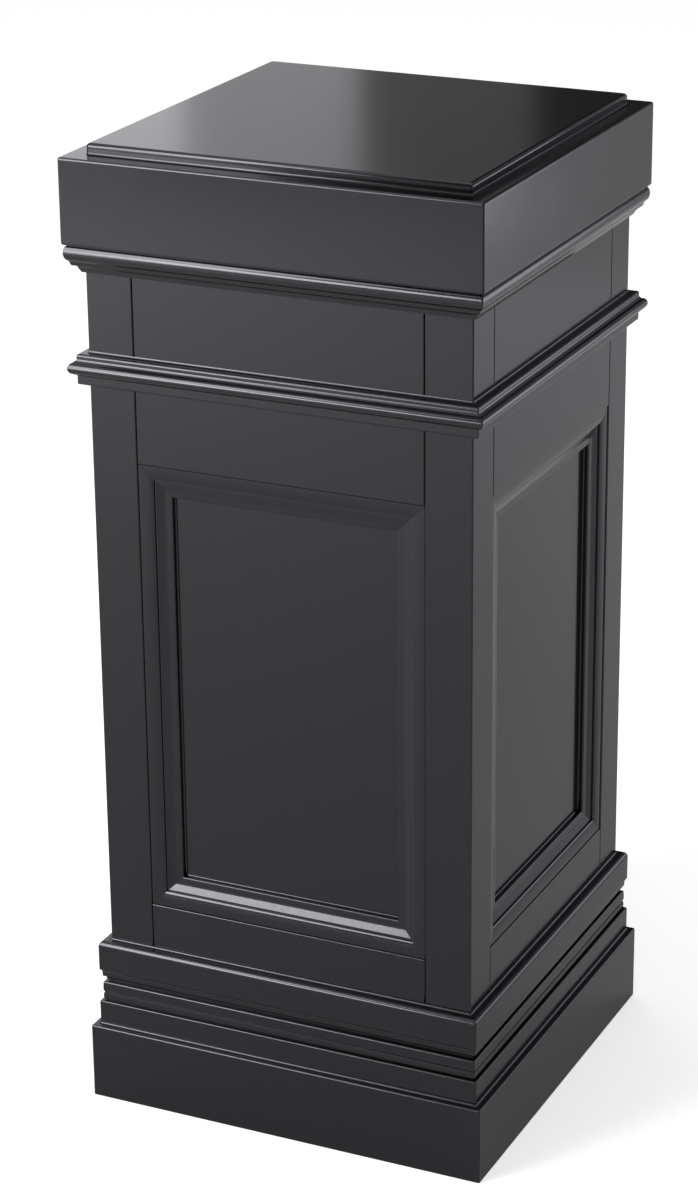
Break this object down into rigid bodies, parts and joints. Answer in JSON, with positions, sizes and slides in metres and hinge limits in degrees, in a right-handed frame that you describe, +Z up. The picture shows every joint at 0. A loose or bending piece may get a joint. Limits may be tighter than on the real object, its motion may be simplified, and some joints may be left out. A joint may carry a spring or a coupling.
{
  "type": "display plinth",
  "caption": "Square frame-and-panel display plinth with a deep flat cap, a half-round mid moulding, recessed moulded panels and a stepped base.",
  "frame": {"origin": "on the floor, under the middle of the column", "axes": "+Z up through the middle of the column, -Y out of the front face, +X to the right of it"},
  "size_m": [0.432, 0.432, 1],
  "materials": {
    "satin_black_lacquer": "sprayed satin black lacquer over wood",
    "bare_board": "bare plywood, unseen in use",
    "zinc_plated_steel": "zinc-plated wood screw"
  },
  "bodies": {
    "root": {"top_slab": "satin_black_lacquer", "cap_deck": "bare_board", "cap_soffit": "bare_board", "bottom_board": "bare_board", "cap_screw_front_left": "zinc_plated_steel", "cap_screw_front_right": "zinc_plated_steel", "cap_screw_back_right": "zinc_plated_steel", "cap_screw_back_left": "zinc_plated_steel", "post_front_left": "satin_black_lacquer", "post_front_right": "satin_black_lacquer", "post_back_right": "satin_black_lacquer", "post_back_left": "satin_black_lacquer", "cap_fascia_front": "satin_black_lacquer", "cap_fascia_right": "satin_black_lacquer", "cap_fascia_back": "satin_black_lacquer", "cap_fascia_left": "satin_black_lacquer", "cornice_front": "satin_black_lacquer", "cornice_right": "satin_black_lacquer", "cornice_back": "satin_black_lacquer", "cornice_left": "satin_black_lacquer", "frieze_front": "satin_black_lacquer", "frieze_right": "satin_black_lacquer", "frieze_back": "satin_black_lacquer", "frieze_left": "satin_black_lacquer", "top_rail_front": "satin_black_lacquer", "top_rail_right": "satin_black_lacquer", "top_rail_back": "satin_black_lacquer", "top_rail_left": "satin_black_lacquer", "bottom_rail_front": "satin_black_lacquer", "bottom_rail_right": "satin_black_lacquer", "bottom_rail_back": "satin_black_lacquer", "bottom_rail_left": "satin_black_lacquer", "panel_front": "satin_black_lacquer", "panel_right": "satin_black_lacquer", "panel_back": "satin_black_lacquer", "panel_left": "satin_black_lacquer", "panel_moulding_front": "satin_black_lacquer", "panel_moulding_right": "satin_black_lacquer", "panel_moulding_back": "satin_black_lacquer", "panel_moulding_left": "satin_black_lacquer", "mid_moulding_front": "satin_black_lacquer", "mid_moulding_right": "satin_black_lacquer", "mid_moulding_back": "satin_black_lacquer", "mid_moulding_left": "satin_black_lacquer", "base_cap_front": "satin_black_lacquer", "base_cap_right": "satin_black_lacquer", "base_cap_back": "satin_black_lacquer", "base_cap_left": "satin_black_lacquer", "reed_moulding_front": "satin_black_lacquer", "reed_moulding_right": "satin_black_lacquer", "reed_moulding_back": "satin_black_lacquer", "reed_moulding_left": "satin_black_lacquer", "base_fillet_front": "satin_black_lacquer", "base_fillet_right": "satin_black_lacquer", "base_fillet_back": "satin_black_lacquer", "base_fillet_left": "satin_black_lacquer", "plinth_board_front": "satin_black_lacquer", "plinth_board_right": "satin_black_lacquer", "plinth_board_back": "satin_black_lacquer", "plinth_board_left": "satin_black_lacquer"}
  },
  "joints": []
}
